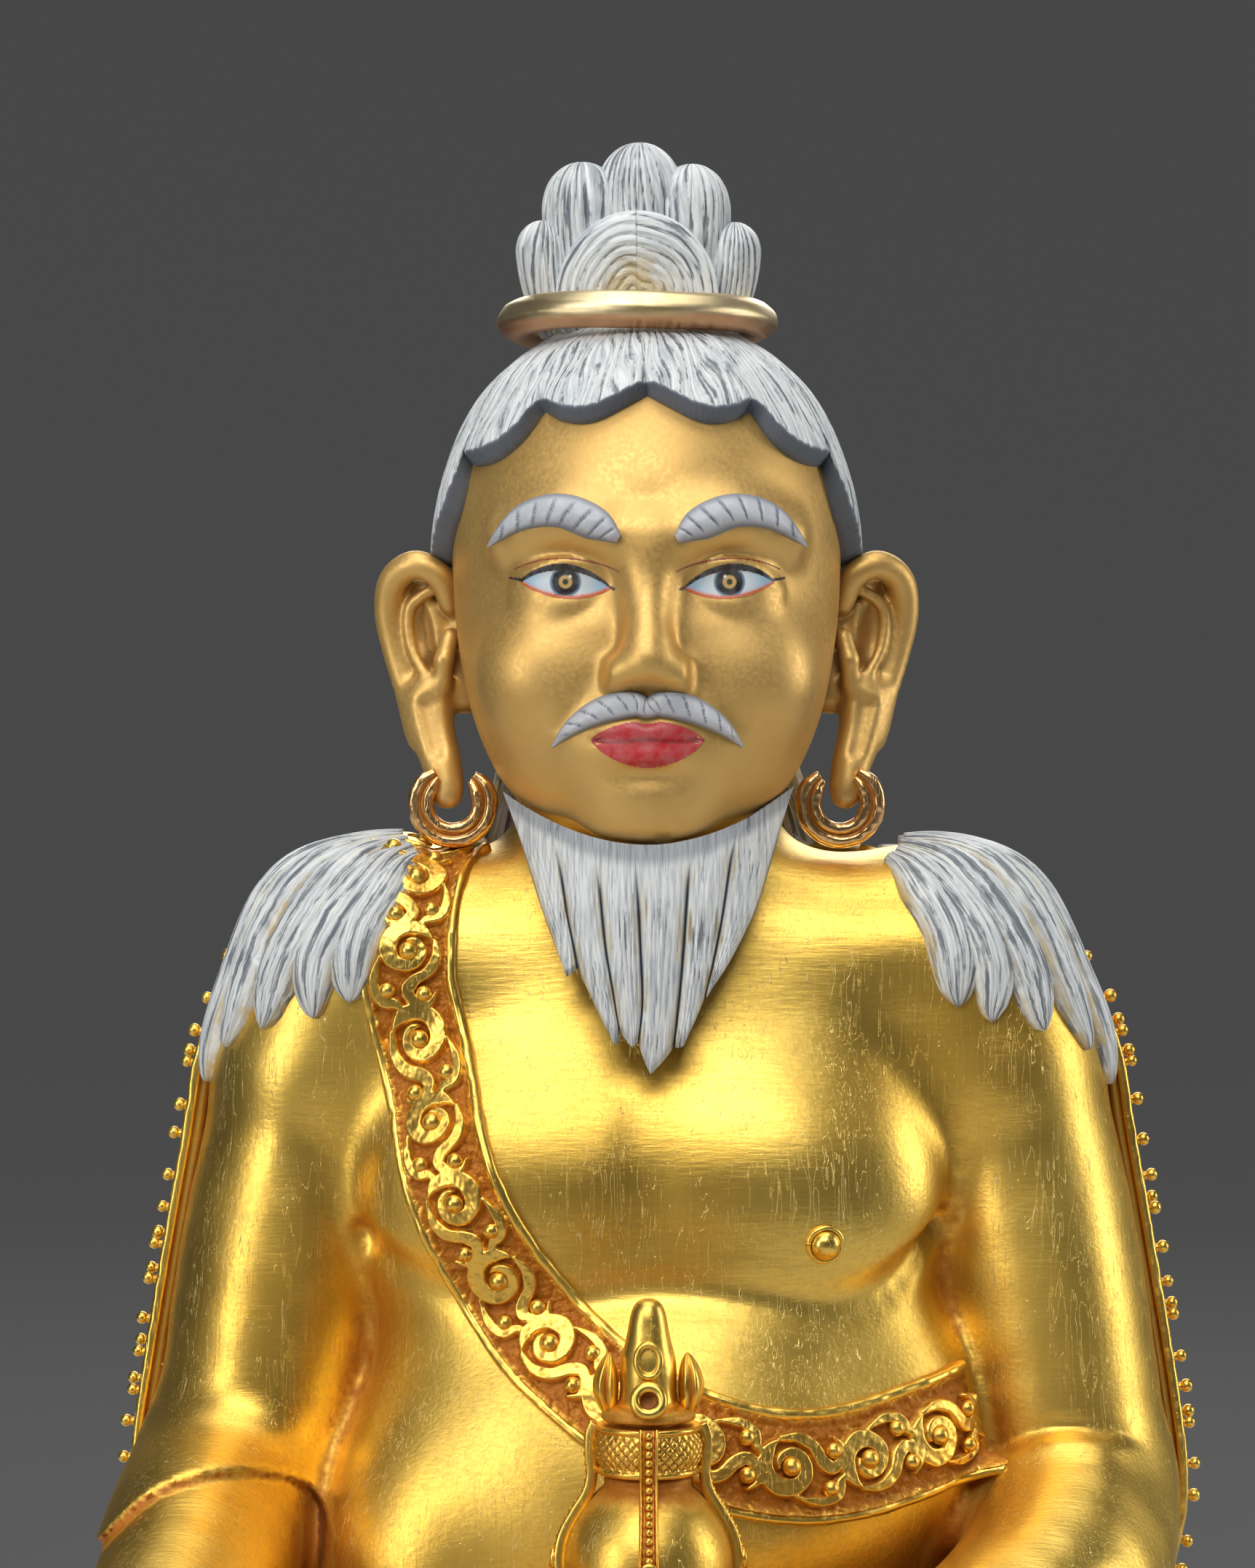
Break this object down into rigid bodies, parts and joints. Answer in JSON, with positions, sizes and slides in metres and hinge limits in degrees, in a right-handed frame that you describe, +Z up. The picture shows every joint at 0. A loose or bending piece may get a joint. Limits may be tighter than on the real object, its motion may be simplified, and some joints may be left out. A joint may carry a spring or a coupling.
{
  "type": "seated sage statue",
  "caption": "Gilt-copper statue of a seated bearded sage with white hair, topknot ring, scroll sash, beaded mantle and a lift-off vase, on a lotus pedestal.",
  "frame": {"origin": "centre of the pedestal's underside", "axes": "+Z up, -Y the way the figure faces, +X to the figure's left (the right side in a front view)"},
  "size_m": [0.168, 0.108, 0.23],
  "materials": {
    "fire_gilt": "burnished fire gilding on copper, satin, with fine brush lines and darker creases",
    "gilt_relief": "gilt relief with an orange-red ground in its recesses",
    "painted_hair": "matt white mineral paint with blue-grey strokes",
    "cold_gold_face": "matt cold gold with painted eyes and lips",
    "polished_ring": "polished, with light file marks",
    "bare_copper": "dull copper sheet and rod, ungilded"
  },
  "bodies": {
    "statue": {"lower_body": "fire_gilt", "torso": "fire_gilt", "upper_arm_right": "fire_gilt", "forearm_right": "fire_gilt", "hand_right": "fire_gilt", "upper_arm_left": "fire_gilt", "forearm_left": "fire_gilt", "hand_left": "fire_gilt", "chest_stud": "fire_gilt", "sash_rim_upper": "fire_gilt", "sash_rim_lower": "fire_gilt", "mantle": "fire_gilt", "ear_right": "fire_gilt", "ear_left": "fire_gilt", "earring_right": "fire_gilt", "earring_left": "fire_gilt", "lotus_pedestal": "fire_gilt", "sash_band": "gilt_relief", "mantle_border_right": "gilt_relief", "mantle_border_left": "gilt_relief", "hair_cap": "painted_hair", "nape_hair": "painted_hair", "topknot": "painted_hair", "beard": "painted_hair", "moustache": "painted_hair", "eyebrow_right": "painted_hair", "eyebrow_left": "painted_hair", "shoulder_hair_right": "painted_hair", "shoulder_hair_left": "painted_hair", "head": "cold_gold_face", "topknot_ring": "polished_ring", "base_plate": "bare_copper", "cross_pin_right": "bare_copper", "cross_pin_left": "bare_copper"},
    "vase": {"vase_body": "fire_gilt", "vase_jewel": "fire_gilt", "vase_leaf_right": "fire_gilt", "vase_leaf_left": "fire_gilt", "vase_bezel_lower": "fire_gilt", "vase_bezel_upper": "fire_gilt", "vase_collar": "gilt_relief", "vase_strap_front": "gilt_relief", "vase_strap_left": "gilt_relief", "vase_strap_back": "gilt_relief", "vase_strap_right": "gilt_relief"}
  },
  "joints": [
    {"name": "vase_lift", "type": "slide", "parent": "statue", "child": "vase", "axis": [0, 0, 1], "range_m": [0, 0.03]}
  ]
}
